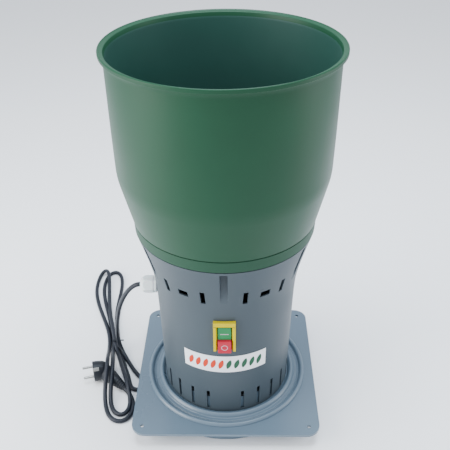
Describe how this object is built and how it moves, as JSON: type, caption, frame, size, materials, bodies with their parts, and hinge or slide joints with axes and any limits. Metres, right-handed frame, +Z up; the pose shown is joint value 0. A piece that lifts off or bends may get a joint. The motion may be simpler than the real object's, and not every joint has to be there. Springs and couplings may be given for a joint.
{
  "type": "hammer mill",
  "caption": "Electric hammer mill for grain: open hopper on a waisted motor housing with vents, swinging hammers in a ring sieve, square base plate and a corded plug.",
  "frame": {"origin": "centre of the discharge skirt on the surface that it stands on", "axes": "+Z up along the mill axis, -Y towards the switch, the cord gland at -X"},
  "size_m": [0.49, 0.532, 0.6676],
  "materials": {
    "base_grey": "light blue-grey moulded plastic, satin",
    "housing_grey": "mid grey moulded plastic, satin",
    "hopper_green": "dark green moulded polypropylene, satin",
    "zinc_steel": "bright zinc plated steel",
    "switch_yellow": "yellow moulded plastic",
    "switch_black": "black moulded plastic",
    "button_green": "green button",
    "button_red": "red button",
    "gland_white": "pale grey nylon",
    "motor_alloy": "die-cast and sheet motor shell",
    "lamination_steel": "varnished steel laminations",
    "bearing_steel": "ground steel",
    "fan_black": "black nylon fan",
    "capacitor_white": "white plastic can",
    "hammer_steel": "hardened steel bar",
    "sieve_steel": "perforated steel sheet",
    "label_white": "white printed label",
    "cord_black": "blue-black PVC cord sheath",
    "plug_black": "black moulded plug",
    "pin_brass": "nickel plated brass pin"
  },
  "bodies": {
    "mill": {"base_plate": "base_grey", "housing": "housing_grey", "seat_ring": "hopper_green", "shutter_bolt": "zinc_steel", "ring_screw_1": "zinc_steel", "ring_screw_2": "zinc_steel", "ring_screw_3": "zinc_steel", "ring_screw_4": "zinc_steel", "ring_screw_5": "zinc_steel", "ring_screw_6": "zinc_steel", "base_screw_1": "zinc_steel", "base_screw_2": "zinc_steel", "base_screw_3": "zinc_steel", "base_screw_4": "zinc_steel", "switch_bezel": "switch_yellow", "switch_body": "switch_black", "gland_body": "gland_white", "gland_nut": "gland_white", "gland_locknut": "gland_white", "motor_casing": "motor_alloy", "motor_stator": "lamination_steel", "motor_lower_shield": "motor_alloy", "motor_upper_shield": "motor_alloy", "bearing_lower": "bearing_steel", "bearing_upper": "bearing_steel", "run_capacitor": "capacitor_white", "capacitor_clip": "zinc_steel", "chamber_plate": "zinc_steel", "feed_chute": "housing_grey", "chute_foot": "housing_grey", "sieve_ring": "sieve_steel", "sieve_retainer": "zinc_steel", "wing_nut_1": "zinc_steel", "wing_nut_2": "zinc_steel", "wing_nut_3": "zinc_steel", "label_panel": "label_white", "power_lead": "cord_black", "cord_hank_front": "cord_black", "cord_hank_back": "cord_black", "plug_body": "plug_black", "plug_pin_1": "pin_brass", "plug_pin_2": "pin_brass"},
    "hopper": {"hopper": "hopper_green"},
    "feed_shutter": {"feed_shutter": "zinc_steel"},
    "start_button": {"start_button": "button_green"},
    "stop_button": {"stop_button": "button_red"},
    "rotor": {"motor_shaft": "bearing_steel", "motor_rotor": "lamination_steel", "cooling_fan": "fan_black", "hammer_disc": "zinc_steel", "disc_nut": "zinc_steel"},
    "hammer_1": {"hammer_1": "hammer_steel"},
    "hammer_2": {"hammer_2": "hammer_steel"},
    "hammer_3": {"hammer_3": "hammer_steel"},
    "hammer_4": {"hammer_4": "hammer_steel"}
  },
  "joints": [
    {"name": "hopper_lift", "type": "slide", "parent": "mill", "child": "hopper", "axis": [0, 0, 1], "range_m": [0, 0.06]},
    {"name": "shutter_turn", "type": "hinge", "parent": "mill", "child": "feed_shutter", "pos_m": [0, 0, 0.38], "axis": [0, 0, 1], "range_deg": [-50, 0]},
    {"name": "start_press", "type": "slide", "parent": "mill", "child": "start_button", "axis": [0, 1, 0], "range_m": [0, 0.003], "stiffness_N_per_m": 600, "springref_m": -0.0015},
    {"name": "stop_press", "type": "slide", "parent": "mill", "child": "stop_button", "axis": [0, 1, 0], "range_m": [0, 0.003], "stiffness_N_per_m": 600, "springref_m": -0.0015},
    {"name": "rotor_spin", "type": "hinge", "parent": "mill", "child": "rotor", "pos_m": [0, 0, 0.15], "axis": [0, 0, 1], "continuous": true},
    {"name": "hammer_swing_1", "type": "hinge", "parent": "rotor", "child": "hammer_1", "pos_m": [0, -0.056, 0.032], "axis": [0, 0, 1], "continuous": true},
    {"name": "hammer_swing_2", "type": "hinge", "parent": "rotor", "child": "hammer_2", "pos_m": [0.056, 0, 0.032], "axis": [0, 0, 1], "continuous": true},
    {"name": "hammer_swing_3", "type": "hinge", "parent": "rotor", "child": "hammer_3", "pos_m": [0, 0.056, 0.032], "axis": [0, 0, 1], "continuous": true},
    {"name": "hammer_swing_4", "type": "hinge", "parent": "rotor", "child": "hammer_4", "pos_m": [-0.056, 0, 0.032], "axis": [0, 0, 1], "continuous": true}
  ]
}
